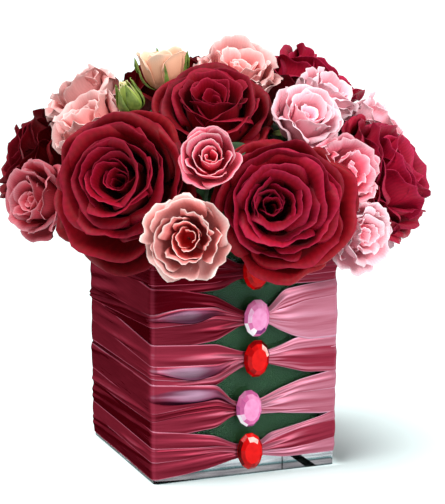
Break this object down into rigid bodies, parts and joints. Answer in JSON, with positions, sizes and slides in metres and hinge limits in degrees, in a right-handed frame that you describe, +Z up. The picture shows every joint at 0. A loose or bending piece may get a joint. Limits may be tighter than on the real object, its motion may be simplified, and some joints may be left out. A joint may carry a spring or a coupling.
{
  "type": "roses in a vase",
  "caption": "Dome of red roses and pink spray roses in wet foam, in a square clear glass vase wrapped with pinched satin ribbons under oval gems.",
  "frame": {"origin": "middle of the vase's foot, on the surface that it stands on", "axes": "+Z up, out of the vase; -Y is the way the face with the gems looks; +X is to the right as that face is looked at"},
  "size_m": [0.2724, 0.269, 0.2778],
  "materials": {
    "clear_glass": "clear, polished, with a thick foot and a faint blue-green edge",
    "wet_foam": "wet floral foam, matte, finely pored",
    "satin_ribbon": "satin with a soft lengthwise sheen, dusty rose to wine red, with woven edges",
    "red_gem": "faceted acrylic, polished",
    "pink_gem": "faceted acrylic, polished",
    "red_petals": "living petal, velvety, deep crimson",
    "pink_petals": "living petal, satiny, pale rims and deeper folds",
    "peach_petals": "living petal of a half-open bud, peach",
    "green_sepals": "living sepals round a closed bud, matte green",
    "rose_stem": "living green stem with hip and sepals, matte"
  },
  "bodies": {
    "root": {"glass_vase": "clear_glass", "floral_foam": "wet_foam", "ribbon_band_1": "satin_ribbon", "ribbon_band_2": "satin_ribbon", "ribbon_band_3": "satin_ribbon", "ribbon_band_4": "satin_ribbon", "ribbon_band_5": "satin_ribbon", "gem_1": "red_gem", "gem_2": "pink_gem", "gem_3": "red_gem", "gem_4": "pink_gem", "gem_5": "red_gem", "red_rose_1": "red_petals", "red_rose_2": "red_petals", "red_rose_3": "red_petals", "red_rose_4": "red_petals", "red_rose_5": "red_petals", "red_rose_6": "red_petals", "red_rose_7": "red_petals", "red_rose_8": "red_petals", "red_rose_9": "red_petals", "red_rose_10": "red_petals", "red_rose_stem_1": "rose_stem", "red_rose_stem_2": "rose_stem", "red_rose_stem_3": "rose_stem", "red_rose_stem_4": "rose_stem", "red_rose_stem_5": "rose_stem", "red_rose_stem_6": "rose_stem", "red_rose_stem_7": "rose_stem", "red_rose_stem_8": "rose_stem", "red_rose_stem_9": "rose_stem", "red_rose_stem_10": "rose_stem", "pink_rose_1": "pink_petals", "pink_rose_2": "pink_petals", "pink_rose_3": "pink_petals", "pink_rose_4": "pink_petals", "pink_rose_5": "pink_petals", "pink_rose_6": "pink_petals", "pink_rose_7": "pink_petals", "pink_rose_8": "pink_petals", "pink_rose_9": "pink_petals", "pink_rose_10": "pink_petals", "pink_rose_11": "pink_petals", "pink_rose_12": "pink_petals", "pink_rose_13": "pink_petals", "pink_rose_14": "pink_petals", "pink_rose_15": "pink_petals", "pink_rose_16": "pink_petals", "pink_rose_17": "pink_petals", "pink_rose_18": "pink_petals", "peach_bud": "peach_petals", "green_bud": "green_sepals", "spray_stem_1": "rose_stem", "spray_stem_2": "rose_stem", "spray_stem_3": "rose_stem", "spray_stem_4": "rose_stem", "spray_stem_5": "rose_stem", "spray_stem_6": "rose_stem", "spray_stem_7": "rose_stem", "spray_stem_8": "rose_stem"}
  },
  "joints": []
}
